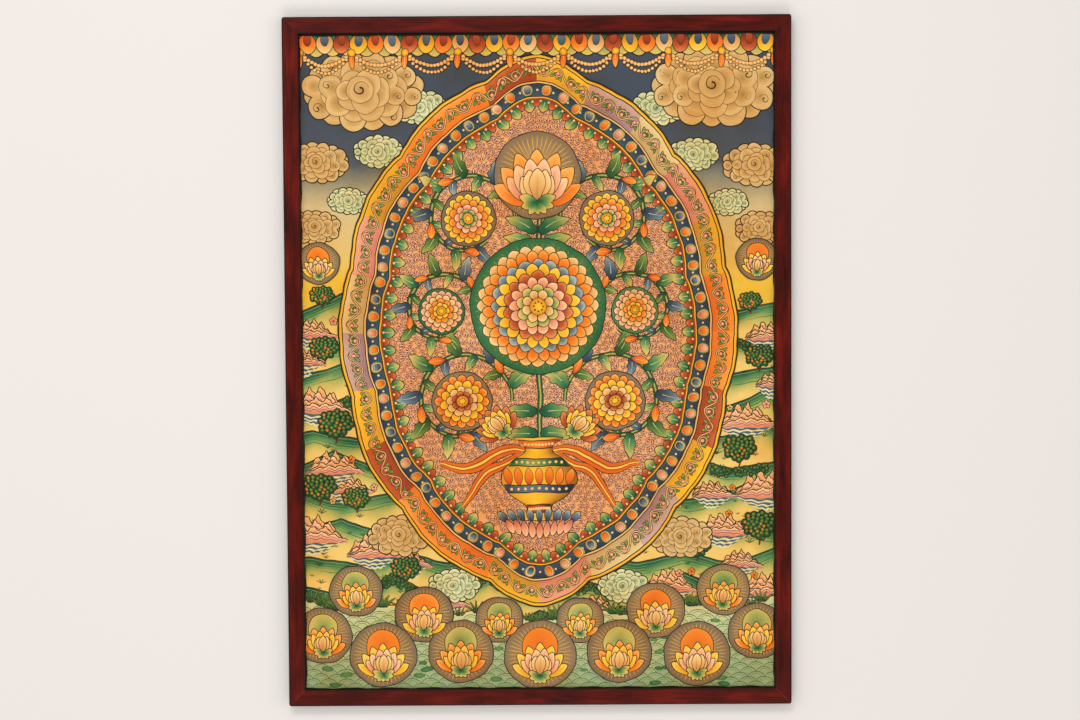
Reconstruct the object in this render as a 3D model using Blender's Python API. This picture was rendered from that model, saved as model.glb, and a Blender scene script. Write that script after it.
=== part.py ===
# A painted cloth in a mitred wooden picture frame, lying on its back.
# Metres. +X runs to the picture's right, +Y to its top and +Z out of its face.
# The origin is the middle of the back, on the surface that the frame lies on.

import math

import bmesh
import bpy

# Outer size of the frame, seen face on
FRAME_WIDTH = 0.660
FRAME_HEIGHT = 0.900

# Section of the wooden moulding
MOULDING_WIDTH = 0.022
MOULDING_DEPTH = 0.018
LIP_THICKNESS = 0.006
REBATE_WIDTH = 0.008
OUTER_EDGE_RADIUS = 0.0025
SIGHT_EDGE_RADIUS = 0.0012
BACK_CHAMFER = 0.0006
OUTER_EDGE_STEPS = 5
SIGHT_EDGE_STEPS = 3

# What lies in the rebate, from the lip backwards
CLOTH_THICKNESS = 0.0010
BOARD_THICKNESS = 0.0030
SEAT_GAP = 0.0003

# The stretched cloth is nearly flat: it lifts this much off its board at most
COCKLE_HEIGHT = 0.0008
COCKLES_ACROSS = 1.25
COCKLES_UP = 1.75
COCKLE_SLANT = 0.3
CLOTH_CELLS_ACROSS = 14
CLOTH_CELLS_UP = 20

# Worked out from the sizes above
REBATE_WALL = MOULDING_WIDTH - REBATE_WIDTH
SHELF_HEIGHT = MOULDING_DEPTH - LIP_THICKNESS
CLOTH_WIDTH = FRAME_WIDTH - 2 * REBATE_WALL - 2 * SEAT_GAP
CLOTH_HEIGHT = FRAME_HEIGHT - 2 * REBATE_WALL - 2 * SEAT_GAP
CLOTH_BACK = SHELF_HEIGHT - SEAT_GAP - CLOTH_THICKNESS
BOARD_BACK = CLOTH_BACK - SEAT_GAP - BOARD_THICKNESS
MITRE_PULL_BACK = SEAT_GAP / math.sqrt(2)


def clear_scene():
    for obj in list(bpy.data.objects):
        bpy.data.objects.remove(obj)


def principled_material(name, colour, roughness, metallic=0.0):
    material = bpy.data.materials.new(name)
    material.use_nodes = True
    shader = material.node_tree.nodes["Principled BSDF"]
    shader.inputs["Base Color"].default_value = (*colour, 1.0)
    shader.inputs["Roughness"].default_value = roughness
    shader.inputs["Metallic"].default_value = metallic
    return material


def object_from_bmesh(name, bm, material, parent):
    bmesh.ops.recalc_face_normals(bm, faces=bm.faces)
    mesh = bpy.data.meshes.new(name)
    bm.to_mesh(mesh)
    bm.free()
    mesh.materials.append(material)
    obj = bpy.data.objects.new(name, mesh)
    bpy.context.scene.collection.objects.link(obj)
    obj.parent = parent
    return obj


def quarter_round(centre_in, centre_z, radius, from_degrees, to_degrees, steps):
    """Points of an arc in the moulding's section: each a distance in from the outer face and a height."""
    points = []
    for step in range(steps + 1):
        angle = math.radians(from_degrees + (to_degrees - from_degrees) * step / steps)
        points.append(
            (centre_in + radius * math.cos(angle), centre_z + radius * math.sin(angle))
        )
    return points


def moulding_section():
    """The moulding's outline, from the back's outer corner over the face to the rebate."""
    outer_edge = quarter_round(
        OUTER_EDGE_RADIUS,
        MOULDING_DEPTH - OUTER_EDGE_RADIUS,
        OUTER_EDGE_RADIUS,
        180,
        90,
        OUTER_EDGE_STEPS,
    )
    sight_edge = quarter_round(
        MOULDING_WIDTH - SIGHT_EDGE_RADIUS,
        MOULDING_DEPTH - SIGHT_EDGE_RADIUS,
        SIGHT_EDGE_RADIUS,
        90,
        0,
        SIGHT_EDGE_STEPS,
    )
    back_corner = [(BACK_CHAMFER, 0.0), (0.0, BACK_CHAMFER)]
    rebate = [
        (MOULDING_WIDTH, SHELF_HEIGHT),
        (REBATE_WALL, SHELF_HEIGHT),
        (REBATE_WALL, 0.0),
    ]
    return back_corner + outer_edge + sight_edge + rebate


def make_moulding(name, outer_length, half_span, turn_degrees, material, parent):
    """One mitred length, modelled along X with its outer face at Y 0 and then turned and moved out."""
    bm = bmesh.new()
    mitre = [
        bm.verts.new((-(outer_length / 2 - inwards - MITRE_PULL_BACK), -inwards, height))
        for inwards, height in moulding_section()
    ]
    left_end = bm.faces.new(mitre)
    extruded = bmesh.ops.extrude_face_region(bm, geom=[left_end], use_keep_orig=True)
    for item in extruded["geom"]:
        if isinstance(item, bmesh.types.BMVert):
            item.co.x = -item.co.x
    moulding = object_from_bmesh(name, bm, material, parent)
    turn = math.radians(turn_degrees)
    moulding.rotation_euler = (0.0, 0.0, turn)
    moulding.location = (-half_span * math.sin(turn), half_span * math.cos(turn), 0.0)
    moulding.data.shade_smooth()
    moulding.data.set_sharp_from_angle(angle=math.radians(30))
    return moulding


def cockle(x, y):
    """Height of the cloth's slight unevenness: a broad wave that dies away towards the held edges."""
    across = 2 * x / CLOTH_WIDTH
    up = 2 * y / CLOTH_HEIGHT
    held = (1 - across**2) * (1 - up**2)
    wave_across = math.sin(2 * math.pi * (COCKLES_ACROSS * across + COCKLE_SLANT * up))
    wave_up = math.cos(math.pi * (COCKLES_UP * up - COCKLE_SLANT * across))
    return COCKLE_HEIGHT * held * (1 + wave_across * wave_up) / 2


def make_cloth(material, parent):
    """A thin sheet: a grid lifted by its cockles, with its thickness extruded downwards."""
    bm = bmesh.new()
    bmesh.ops.create_grid(
        bm, x_segments=CLOTH_CELLS_ACROSS, y_segments=CLOTH_CELLS_UP, size=0.5
    )
    for vertex in bm.verts:
        vertex.co.x *= CLOTH_WIDTH
        vertex.co.y *= CLOTH_HEIGHT
        vertex.co.z = cockle(vertex.co.x, vertex.co.y) + CLOTH_THICKNESS
    top_faces = list(bm.faces)
    extruded = bmesh.ops.extrude_face_region(bm, geom=top_faces, use_keep_orig=True)
    for item in extruded["geom"]:
        if isinstance(item, bmesh.types.BMVert):
            item.co.z -= CLOTH_THICKNESS
    cloth = object_from_bmesh("painted_cloth", bm, material, parent)
    cloth.location.z = CLOTH_BACK
    return cloth


def make_board(material, parent):
    """The flat back of the frame, as large as the rebate lets it be."""
    bm = bmesh.new()
    bmesh.ops.create_cube(bm, size=1.0)
    bmesh.ops.scale(
        bm, vec=(CLOTH_WIDTH, CLOTH_HEIGHT, BOARD_THICKNESS), verts=bm.verts
    )
    board = object_from_bmesh("back_board", bm, material, parent)
    board.location.z = BOARD_BACK + BOARD_THICKNESS / 2
    return board


def build():
    clear_scene()
    stained_wood = principled_material("stained_wood", (0.092, 0.010, 0.006), 0.34)
    painted_cotton = principled_material("painted_cotton", (0.58, 0.33, 0.12), 0.85)
    hardboard = principled_material("hardboard", (0.17, 0.085, 0.04), 0.80)

    picture = bpy.data.objects.new("picture", None)
    bpy.context.scene.collection.objects.link(picture)

    half_height = FRAME_HEIGHT / 2
    half_width = FRAME_WIDTH / 2
    make_moulding("top_rail", FRAME_WIDTH, half_height, 0, stained_wood, picture)
    make_moulding("left_stile", FRAME_HEIGHT, half_width, 90, stained_wood, picture)
    make_moulding("bottom_rail", FRAME_WIDTH, half_height, 180, stained_wood, picture)
    make_moulding("right_stile", FRAME_HEIGHT, half_width, 270, stained_wood, picture)
    make_cloth(painted_cotton, picture)
    make_board(hardboard, picture)


build()
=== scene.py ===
# A painted cloth in a mahogany-stained picture frame, lying on its back and seen from above.
# The cloth's picture is a generic one: a flowering vase in a lobed panel, with clouds, hills and a pond.
# Paint is laid as thin coats, one mesh for each pigment. Its sizes are millimetres, and meshes are in metres.

import math

import bpy
import numpy as np
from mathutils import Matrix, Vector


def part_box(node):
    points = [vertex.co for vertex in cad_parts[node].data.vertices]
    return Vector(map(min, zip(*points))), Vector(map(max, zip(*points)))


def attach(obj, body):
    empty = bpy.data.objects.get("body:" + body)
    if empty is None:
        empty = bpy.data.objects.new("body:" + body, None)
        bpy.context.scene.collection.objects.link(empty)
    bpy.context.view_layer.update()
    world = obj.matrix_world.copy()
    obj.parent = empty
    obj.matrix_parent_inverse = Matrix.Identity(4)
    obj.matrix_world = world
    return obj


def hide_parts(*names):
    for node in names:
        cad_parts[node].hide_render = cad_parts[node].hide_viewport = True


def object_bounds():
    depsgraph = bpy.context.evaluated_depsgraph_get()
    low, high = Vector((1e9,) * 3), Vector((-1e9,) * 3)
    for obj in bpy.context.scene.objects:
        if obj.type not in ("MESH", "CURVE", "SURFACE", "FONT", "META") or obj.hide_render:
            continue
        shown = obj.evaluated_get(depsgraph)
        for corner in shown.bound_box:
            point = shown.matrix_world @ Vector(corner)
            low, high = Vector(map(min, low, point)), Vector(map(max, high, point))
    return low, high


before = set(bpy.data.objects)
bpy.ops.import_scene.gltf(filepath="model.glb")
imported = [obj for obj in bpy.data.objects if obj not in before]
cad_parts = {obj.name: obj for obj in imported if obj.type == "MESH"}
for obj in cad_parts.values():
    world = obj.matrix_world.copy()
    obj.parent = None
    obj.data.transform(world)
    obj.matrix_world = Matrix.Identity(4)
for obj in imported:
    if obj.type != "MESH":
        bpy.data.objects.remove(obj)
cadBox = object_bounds()
mm = 0.001
dice = np.random.default_rng(7)


# Tools for meshes and materials

def hexToLinear(hexText):
    # each sRGB channel c becomes c / 12.92 up to 0.04045, and ((c + 0.055) / 1.055) to the power 2.4 above it
    channels = [int(hexText[i:i + 2], 16) / 255 for i in (1, 3, 5)]
    return tuple(c / 12.92 if c <= 0.04045 else ((c + 0.055) / 1.055) ** 2.4 for c in channels) + (1.0,)


def addNode(tree, kind, inputs=None, stops=None, out=0, **settings):
    # inputs gives each socket a value or another node's output, stops are (place, hex colour) pairs, and out
    # says which output is handed back
    node = tree.nodes.new("ShaderNode" + kind)
    for name, value in settings.items():
        setattr(node, name, value)
    for socket, value in (inputs or {}).items():
        if isinstance(value, bpy.types.NodeSocket):
            tree.links.new(value, node.inputs[socket])
        else:
            node.inputs[socket].default_value = value
    if stops:
        elements = node.color_ramp.elements
        elements[0].position = stops[0][0]
        elements[1].position = stops[-1][0]
        for place, _ in stops[1:-1]:
            elements.new(place)
        for element, (_, hexText) in zip(elements, stops):
            element.color = hexToLinear(hexText)
    return node.outputs[out]


def newMaterial(name, roughness, specular=0.5):
    material = bpy.data.materials.new(name)
    material.use_nodes = True
    tree = material.node_tree
    shader = tree.nodes["Principled BSDF"]
    shader.inputs["Roughness"].default_value = roughness
    shader.inputs["Specular IOR Level"].default_value = specular
    return material, tree, shader


def linkColourAndRelief(tree, shader, colour, height, strength, distance):
    # the relief is at most the distance high, in metres
    tree.links.new(colour, shader.inputs["Base Color"])
    relief = addNode(tree, "Bump", {"Strength": strength, "Distance": distance, "Height": height})
    tree.links.new(relief, shader.inputs["Normal"])


def meshFromArrays(name, points, quads, caps=()):
    # points are rows of x, y, z in metres, quads are rows of four point numbers, and caps are longer faces
    mesh = bpy.data.meshes.new(name)
    if len(caps):
        mesh.from_pydata(points, [], [list(q) for q in quads] + [list(c) for c in caps])
    else:
        mesh.vertices.add(len(points))
        mesh.vertices.foreach_set("co", points.astype(np.float32).ravel())
        mesh.loops.add(quads.size)
        mesh.loops.foreach_set("vertex_index", quads.astype(np.int32).ravel())
        mesh.polygons.add(len(quads))
        mesh.polygons.foreach_set("loop_start", np.arange(len(quads), dtype=np.int32) * 4)
        mesh.update(calc_edges=True)
    mesh.shade_smooth()
    return mesh


def addPiece(name, mesh, material, replaced=()):
    mesh.materials.append(material)
    piece = bpy.data.objects.new(name, mesh)
    bpy.context.scene.collection.objects.link(piece)
    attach(piece, "root")
    if replaced:
        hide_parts(*replaced)
    return piece


def gridQuads(copies, rows, columns):
    # each copy is a grid of rows by columns of points, and each quad joins four neighbours
    numbers = np.arange(copies * rows * columns).reshape(copies, rows, columns)
    corners = numbers[:, :-1, :-1], numbers[:, :-1, 1:], numbers[:, 1:, 1:], numbers[:, 1:, :-1]
    return np.stack(corners, -1).reshape(-1, 4)


def tubeQuads(count, rings, start=0):
    # joins rings of count points each, one ring to the next
    ring = np.arange(count)
    nextRing = np.roll(ring, -1)
    first = start + (np.arange(rings - 1) * count)[:, None]
    corners = first + ring, first + nextRing, first + count + nextRing, first + count + ring
    return np.stack(corners, -1).reshape(-1, 4)


# The wooden frame: four mitred lengths of stained and lacquered moulding

moulding = {
    "faceWidth": 22.0,      # mm, from the outer face to the sight edge
    "depth": 18.0,          # mm
    "lip": 6.0,             # mm of wood in front of the cloth
    "rebate": 8.0,          # mm
    "outerRadius": 2.5,     # mm
    "sightRadius": 1.2,     # mm
    "backChamfer": 0.6,     # mm
    "besideArc": 0.4,       # mm from an arc to the row that keeps the flat beside it flat
    "besideCorner": 0.3,    # mm, the same at the rebate's corners
    "faceRows": (3.0, 7.7, 15.4, 18.8),    # mm in from the outer face
    "mitreGap": 0.3,        # mm between two mitred ends
    "cornerRadius": 3.2,    # mm, sanded round in plan
    "sandedWidth": 3.0,     # mm in from the outer face over which that rounding dies away
    "nearCorner": (0.0, 0.4, 0.8, 1.3, 1.9, 2.7, 3.6, 6.0, 10.0),    # mm of stations from a tip
    "arcSteps": 10,
    "settleSteps": 14,
    "stations": 44,         # between the corners, so that the arrises can waver
    "straight": 0.94,       # share of the length along which those stations stand
    "waver": 0.10,          # mm by which hand sanding rounds the arrises unevenly
    "arrisPlace": 1.0,      # mm in from the outer face where they waver most
    "arrisReach": 1.2,      # mm to each side over which that dies away
    "arrisDepth": 3.0,      # mm below the face as far as it goes
    "waverLengths": (37.0, 13.0),          # mm
    # near the outer face and the sight edge the wood is darkened: stain gathered there, and painted shade
    "outerStainAndShade": (3.0, 1.5),               # mm from the outer face that is dark, and mm over which it fades
    "sightStainAndShade": (2.4, 1.6),               # the same from the sight edge
    "sharpAngle": 32.0,     # degrees between two faces from which their edge shades sharp
}


def mouldingSection(m):
    # rows of (distance in from the outer face, height), from the back over the face to the rebate. An arc is
    # its centre plus the radius times the cosine and sine of the angle
    w, d, r, s, c = (m[key] for key in ("faceWidth", "depth", "outerRadius", "sightRadius", "backChamfer"))
    near, close = m["besideArc"], m["besideCorner"]
    shelf, wall = d - m["lip"], w - m["rebate"]
    outer = np.radians(np.linspace(180, 90, m["arcSteps"] + 1))
    sight = np.radians(np.linspace(90, 0, m["arcSteps"] + 1))
    back = [(wall - near, 0), (c + near, 0), (c, 0), (0, c), (0, c + near), (0, d - r - near)]
    outerArc = np.stack([r + r * np.cos(outer), d - r + r * np.sin(outer)], 1)
    face = [(inwards, d) for inwards in (*m["faceRows"], w - s - near)]
    sightArc = np.stack([w - s + s * np.cos(sight), d - s + s * np.sin(sight)], 1)
    inside = [(w, d - s - near), (w, shelf + close), (w, shelf), (w - close, shelf), (wall + close, shelf),
              (wall, shelf), (wall, shelf - close), (wall, near), (wall, 0)]
    return np.concatenate([back, outerArc, face, sightArc, inside])


def mitredPlace(m, inwards, t, halfLength):
    # at t = 1 a point lies on the mitre, which it reaches that much less far as it lies further in. Near the
    # corner a point at the outer face moves in by r - sqrt(r^2 - d^2), where d is how far it is past the
    # start of the corner's arc. Each of the two depends on the other, so they are settled by steps
    radius = m["cornerRadius"]
    nearFace = np.exp(-((inwards / m["sandedWidth"]) ** 2))
    moved = inwards + 0 * t
    for _ in range(m["settleSteps"]):
        along = t * (halfLength - moved - m["mitreGap"] / math.sqrt(2))
        past = np.clip(np.abs(along) - halfLength + radius, 0, radius)
        moved = (moved + inwards + nearFace * (radius - np.sqrt(radius**2 - past**2))) / 2
    return moved, along


def makeMoulding(name, node, outerLength, halfSpan, turn, material):
    # the section is carried along X from mitre to mitre, then the whole is turned about Z and moved outwards.
    # An arris wavers by two sines of the way along, which move it inwards where they add up above 0 and down
    # where they are below
    m = moulding
    section = mouldingSection(m)
    inwards, height = section[:, 0], section[:, 1]
    tips = 1 - np.array(m["nearCorner"]) / (outerLength / 2)
    between = np.linspace(-m["straight"], m["straight"], m["stations"])
    t = np.concatenate([-tips, between, tips[::-1]])[:, None]
    moved, x = mitredPlace(m, inwards, t, outerLength / 2)
    phase = turn * 0.7
    longWave, shortWave = m["waverLengths"]
    soft = m["waver"] * (np.sin(x / longWave + phase) + 0.6 * np.sin(x / shortWave + 2 * phase)) * (1 - t**6)
    onArris = np.exp(-((inwards - m["arrisPlace"]) / m["arrisReach"]) ** 2)
    onArris = onArris * (height > m["depth"] - m["arrisDepth"])
    y = -(moved + np.maximum(soft, 0) * onArris)
    z = height - np.maximum(-soft, 0) * onArris
    angle = math.radians(turn)
    worldX = x * math.cos(angle) - y * math.sin(angle) - halfSpan * math.sin(angle)
    worldY = x * math.sin(angle) + y * math.cos(angle) + halfSpan * math.cos(angle)
    points = np.stack([worldX, worldY, np.broadcast_to(z, x.shape)], -1).reshape(-1, 3) * mm
    count = len(section)
    ring = np.arange(count)
    caps = [ring[::-1], (len(t) - 1) * count + ring]
    mesh = meshFromArrays(name, points, tubeQuads(count, len(t)), caps)
    mesh.set_sharp_from_angle(angle=math.radians(m["sharpAngle"]))
    outerStainAndShade, outerFade = m["outerStainAndShade"]
    sightStainAndShade, sightFade = m["sightStainAndShade"]
    # near-black towards the outer face and the sight edge: stain gathered at the arrises, and painted shade
    # where the rounding and the lip fall into shadow
    edge = (np.clip((outerStainAndShade - inwards) / outerFade, 0, 1)
            + np.clip((inwards - m["faceWidth"] + sightStainAndShade) / sightFade, 0, 1))
    shade = mesh.attributes.new("edge", "FLOAT", "POINT")
    shade.data.foreach_set("value", np.tile(edge, len(t)).astype(np.float32))
    return addPiece(name, mesh, material, [node])


def mahoganyStain(name, alongY):
    # hardwood, wiped with red-brown stain and sprayed with satin lacquer: the grain runs along the length,
    # pores show as fine dark streaks and stain lies in soft darker and redder clouds. The arrises are
    # darker, partly from stain that gathers there and partly from painted shade
    material, tree, shader = newMaterial(name, roughness=0.34, specular=0.10)
    place = addNode(tree, "TexCoord", out="Object")
    turned = addNode(tree, "Mapping", {"Vector": place,
                                       "Rotation": (0, 0, math.radians(90 if alongY else 0))})
    noises = []
    # length along the grain and width across it in metres, detail, roughness and distortion
    for length, width, detail, rough, distortion in ((0.060, 0.0016, 4.0, 0.6, 0.4),
                                                     (0.070, 0.016, 3.0, 0.55, 0.3)):
        drawnOut = addNode(tree, "Mapping", {"Vector": turned, "Scale": (1 / length, 1 / width, 1 / width)})
        noises.append(addNode(tree, "TexNoise", {"Vector": drawnOut, "Scale": 1.0, "Detail": detail,
                                                 "Roughness": rough, "Distortion": distortion}, out="Fac"))
    streaks, clouds = noises
    stain = addNode(tree, "ValToRGB", {"Fac": clouds},
                    [(0.30, "#380d07"), (0.44, "#4f1109"), (0.56, "#621409"), (0.70, "#761c10")])
    fine = addNode(tree, "ValToRGB", {"Fac": streaks},
                   [(0.30, "#8c7a72"), (0.50, "#d9cfc9"), (0.70, "#ffffff")])
    grained = addNode(tree, "Mix", {0: 0.75, 6: stain, 7: fine}, out=2, data_type="RGBA",
                      blend_type="MULTIPLY")
    # the edge attribute mixes in near-black brown: gathered stain and painted shade along the arrises
    edge = addNode(tree, "Attribute", out="Fac", attribute_name="edge")
    edgeStainAndShade = addNode(tree, "Math", {0: edge, 1: 0.88}, operation="MULTIPLY")
    toned = addNode(tree, "Mix", {0: edgeStainAndShade, 6: grained, 7: hexToLinear("#21130c")}, out=2,
                    data_type="RGBA")
    linkColourAndRelief(tree, shader, toned, streaks, 0.35, 0.00012)
    return material


def puttyFiller():
    # coloured wood filler pressed into the mitres: dull, darker towards the top of the picture and paler
    # towards its foot
    material, tree, shader = newMaterial("wood_filler", roughness=0.6, specular=0.3)
    place = addNode(tree, "TexCoord", out="Object")
    crumbs = addNode(tree, "TexNoise", {"Vector": place, "Scale": 260.0, "Detail": 3.0}, out="Fac")
    height = addNode(tree, "SeparateXYZ", {0: place}, out="Y")
    paleTowardsFoot = addNode(tree, "Math", {0: height, 1: -0.42, 2: crumbs}, operation="MULTIPLY_ADD")
    colour = addNode(tree, "ValToRGB", {"Fac": paleTowardsFoot},
                     [(0.40, "#2c100b"), (0.58, "#5a2b1c"), (0.80, "#8a5640")])
    tree.links.new(colour, shader.inputs["Base Color"])
    return material


def makePutty():
    # four thin plates on the mitre planes, each the moulding's rounded section shrunk a little to its middle
    m = moulding
    section = mouldingSection(m)
    section[:, 0] = mitredPlace(m, section[:, 0], 1.0, halfWidth)[0]
    middle = np.array([m["faceWidth"] * 0.45, m["depth"] * 0.55])
    shrunk = section + (middle - section) * 0.012
    apart = m["mitreGap"] * 0.42 * math.sqrt(0.5)    # mm from the mitre's plane, along X and along Y
    points, quads, caps = [], [], []
    count = len(section)
    ring = np.arange(count)
    for number, (signX, signY) in enumerate(((-1, 1), (1, 1), (1, -1), (-1, -1))):
        start = 2 * count * number
        for side in (-1, 1):
            x = signX * (halfWidth - shrunk[:, 0] - side * apart)
            y = signY * (halfHeight - shrunk[:, 0] + side * apart)
            points.append(np.stack([x, y, shrunk[:, 1]], 1) * mm)
        wall = tubeQuads(count, 2, start)
        ends = [start + ring[::-1], start + count + ring]
        if signX * signY > 0:
            wall = wall[:, ::-1]
            ends = [end[::-1] for end in ends]
        quads.append(wall)
        caps += ends
    mesh = meshFromArrays("mitre_filler", np.concatenate(points), np.concatenate(quads), caps)
    mesh.set_sharp_from_angle(angle=math.radians(m["sharpAngle"]))
    return addPiece("mitre_filler", mesh, puttyFiller())


halfWidth = cadBox[1].x / mm
halfHeight = cadBox[1].y / mm
acrossStain = mahoganyStain("mahogany_stain_across", alongY=False)
upStain = mahoganyStain("mahogany_stain_up", alongY=True)
makeMoulding("frame_top", "top_rail", 2 * halfWidth, halfHeight, 0, acrossStain)
makeMoulding("frame_left", "left_stile", 2 * halfHeight, halfWidth, 90, upStain)
makeMoulding("frame_bottom", "bottom_rail", 2 * halfWidth, halfHeight, 180, acrossStain)
makeMoulding("frame_right", "right_stile", 2 * halfHeight, halfWidth, 270, upStain)
makePutty()
print("frame: four mouldings and the filler in their mitres")


# The back board keeps its solid's shape

def crossedThreads(tree, place, pitch, distortion, operation):
    # two sets of bands at right angles, pitch metres apart, put together by the operation. The bands of a
    # wave texture whose scale is 1 stand pi / 10 metres apart
    warp, weft = (addNode(tree, "TexWave", {"Vector": place, "Scale": math.pi / 10 / pitch,
                                            "Distortion": distortion}, out="Fac", bands_direction=axis)
                  for axis in "XY")
    return addNode(tree, "Math", {0: warp, 1: weft}, operation=operation)


def hardboardBack():
    # pressed wood fibre, brown, with a fine screen pattern on the rough side and darker flecks
    material, tree, shader = newMaterial("hardboard", roughness=0.85, specular=0.2)
    place = addNode(tree, "TexCoord", out="Object")
    screenPitch = 0.0024    # m, drawn about twice as coarse as it is
    screen = crossedThreads(tree, place, screenPitch, 0.0, "MULTIPLY")
    fibre = addNode(tree, "TexNoise", {"Vector": place, "Scale": 320.0, "Detail": 5.0, "Roughness": 0.7},
                    out="Fac")
    fleck = addNode(tree, "Math", {0: fibre, 1: 0.8, 2: 0.1}, operation="MULTIPLY_ADD")
    mixed = addNode(tree, "Math", {0: screen, 1: 0.18, 2: fleck}, operation="MULTIPLY_ADD")
    colour = addNode(tree, "ValToRGB", {"Fac": mixed},
                     [(0.30, "#4a3020"), (0.52, "#7a5638"), (0.75, "#94704b")])
    linkColourAndRelief(tree, shader, colour, mixed, 0.5, 0.0002)
    return material


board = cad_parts["back_board"]
board.data.materials.clear()
board.data.materials.append(hardboardBack())


# The cloth: one thin sheet with slight cockles, flat at the edges that the lip holds

clothLow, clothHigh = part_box("painted_cloth")
cloth = {
    "width": (clothHigh.x - clothLow.x) / mm,
    "height": (clothHigh.y - clothLow.y) / mm,
    "back": clothLow.z / mm,
    "thickness": 1.0,        # mm, primed and painted cotton
    "cockle": 0.8,           # mm, the most that the face lifts
    "across": 1.25,          # cockles in half of the width
    "up": 1.75,              # cockles in half of the height
    "slant": 0.3,
    "cells": (90, 124),
    "sightWidth": 2 * (halfWidth - moulding["faceWidth"]),
    "sightHeight": 2 * (halfHeight - moulding["faceWidth"]),
    "coat": 0.018,           # mm from one coat of paint to the next
    "wander": 0.6,           # mm by which the painter's hand strays
}


def clothFace(x, y):
    # height of the cloth's face in millimetres: a slanting wave of cockles times (1 - a^2)(1 - b^2), where a
    # and b run from -1 to 1 across and up the cloth, so that it dies away at the held edges
    a = 2 * x / cloth["width"]
    b = 2 * y / cloth["height"]
    waveAcross = np.sin(2 * math.pi * (cloth["across"] * a + cloth["slant"] * b))
    waveUp = np.cos(math.pi * (cloth["up"] * b - cloth["slant"] * a))
    lift = cloth["cockle"] * (1 - a**2) * (1 - b**2) * (1 + waveAcross * waveUp) / 2
    return cloth["back"] + cloth["thickness"] + lift


def cottonPaint(name, stops, banded=False):
    # mineral pigment bound in hide glue on primed cotton: matt, chalky, a little uneven from brush to brush,
    # with the weave just showing through. The tone attribute says how far a coat is shaded from deep to pale.
    # A banded paint changes up the cloth instead, from 0 at its foot to 1 at its top
    material, tree, shader = newMaterial(name, roughness=0.78, specular=0.22)
    place = addNode(tree, "TexCoord", out="Object")
    if banded:
        height = addNode(tree, "SeparateXYZ", {0: place}, out="Y")
        tone = addNode(tree, "Math", {0: height, 1: 1 / (cloth["height"] * mm), 2: 0.5},
                       operation="MULTIPLY_ADD")
        shares = (0.02, 0.008)
    else:
        tone = addNode(tree, "Attribute", out="Fac", attribute_name="tone")
        shares = (0.22, 0.16)
    # clouds and grains: size in metres, detail and roughness
    for share, size, detail, rough in zip(shares, (0.028, 0.0022), (3.0, 2.0), (0.6, 0.7)):
        mottle = addNode(tree, "TexNoise", {"Vector": place, "Scale": 1 / size, "Detail": detail,
                                            "Roughness": rough}, out="Fac")
        tone = addNode(tree, "Math", {0: mottle, 1: share, 2: tone}, operation="MULTIPLY_ADD")
    centred = addNode(tree, "Math", {0: tone, 1: sum(shares) / 2}, operation="SUBTRACT")
    colour = addNode(tree, "ValToRGB", {"Fac": centred}, stops)
    stainSize = 0.09    # m; old glue and lamp smoke warm every colour, in uneven clouds
    smoke = addNode(tree, "TexNoise", {"Vector": place, "Scale": 1 / stainSize, "Detail": 5.0,
                                       "Roughness": 0.62}, out="Fac")
    varnish = addNode(tree, "ValToRGB", {"Fac": smoke},
                      [(0.34, "#f6d29c"), (0.52, "#ffebc8"), (0.66, "#fff3da")])
    aged = addNode(tree, "Mix", {0: 1.0, 6: colour, 7: varnish}, out=2, data_type="RGBA",
                   blend_type="MULTIPLY")
    threadPitch = 0.0016     # m, drawn about twice as coarse as the real thread so that it shows
    weave = crossedThreads(tree, place, threadPitch, 0.6, "ADD")
    linkColourAndRelief(tree, shader, aged, weave, 0.25, 0.00005)
    return material


# Ground colours from the foot of the picture (0) to its top (1)
groundBands = [(0.00, "#5f9463"), (0.20, "#98b06c"), (0.44, "#bcb96c"), (0.55, "#d9ae40"),
               (0.625, "#e4c144"), (0.665, "#dbc27c"), (0.73, "#cfc09a"), (0.775, "#858880"),
               (0.80, "#4a5569"), (0.88, "#3f4c66"), (1.00, "#424f69")]


def makeCloth():
    # the face is clothFace on a grid, the back is the same grid one thickness lower, and a rim joins them
    columns, rows = cloth["cells"][0] + 1, cloth["cells"][1] + 1
    x, y = np.meshgrid(np.linspace(-0.5, 0.5, columns) * cloth["width"],
                       np.linspace(-0.5, 0.5, rows) * cloth["height"])
    face = np.stack([x, y, clothFace(x, y)], -1).reshape(-1, 3)
    back = face - [0, 0, cloth["thickness"]]
    quads = gridQuads(1, rows, columns)
    numbers = np.arange(rows * columns).reshape(rows, columns)
    rim = np.concatenate([numbers[0, :-1], numbers[:-1, -1], numbers[-1, :0:-1], numbers[:0:-1, 0]])
    rimNext = np.roll(rim, -1)
    total = rows * columns
    walls = np.stack([rim, rim + total, rimNext + total, rimNext], 1)
    allQuads = np.concatenate([quads, quads[:, ::-1] + total, walls])
    mesh = meshFromArrays("cotton_ground", np.concatenate([face, back]) * mm, allQuads)
    mesh.set_sharp_from_angle(angle=math.radians(50))
    return addPiece("cotton_ground", mesh, cottonPaint("primed_cotton_ground", groundBands, True),
                    ["painted_cloth"])


clothPiece = makeCloth()
print("cloth: sheet with its ground colours")


# Brushwork: coats of paint, kept by pigment until all the motifs are laid

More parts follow.
